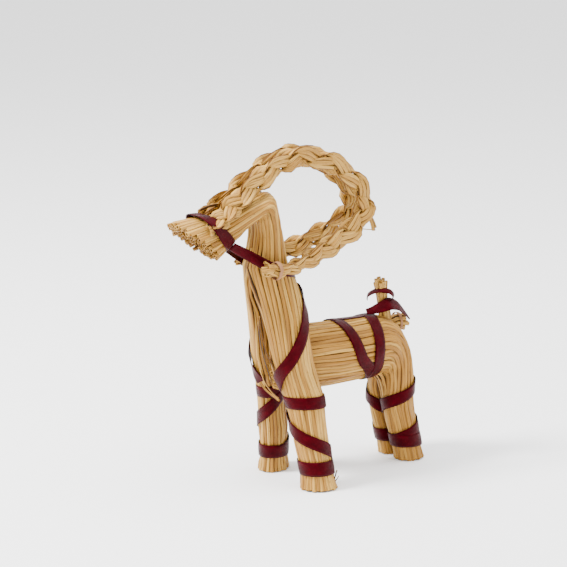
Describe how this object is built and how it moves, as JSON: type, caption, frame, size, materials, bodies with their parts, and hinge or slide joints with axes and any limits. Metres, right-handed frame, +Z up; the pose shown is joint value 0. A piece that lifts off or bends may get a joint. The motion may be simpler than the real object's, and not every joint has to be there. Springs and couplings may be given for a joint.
{
  "type": "straw goat ornament",
  "caption": "Standing goat of bound straw bundles with two long plaited horns curving back to the neck, tied with dark red ribbon and raffia, and a short upright tail",
  "frame": {"origin": "On the floor under the middle of the bounding box, between the four feet", "axes": "+Z up, -Y the way the goat faces, +X the goat's left; mirror plane of the legs and trunk at X = 0"},
  "size_m": [0.0858, 0.2238, 0.2593],
  "materials": {
    "straw": "satin natural straw",
    "plaited_straw": "satin flattened straw",
    "ribbon": "woven satin",
    "raffia": "matt natural fibre"
  },
  "bodies": {
    "root": {"front_bundle": "straw", "body_bundle": "straw", "tail_bundle": "straw", "left_horn": "plaited_straw", "right_horn": "plaited_straw", "left_horn_tie": "raffia", "right_horn_tie": "raffia", "bridle_ribbon": "ribbon", "chest_ribbon": "ribbon", "left_foreleg_ribbon": "ribbon", "right_foreleg_ribbon": "ribbon", "girth_ribbon": "ribbon", "left_hindleg_ribbon": "ribbon", "right_hindleg_ribbon": "ribbon", "tail_ribbon": "ribbon", "tail_tie": "raffia"}
  },
  "joints": []
}
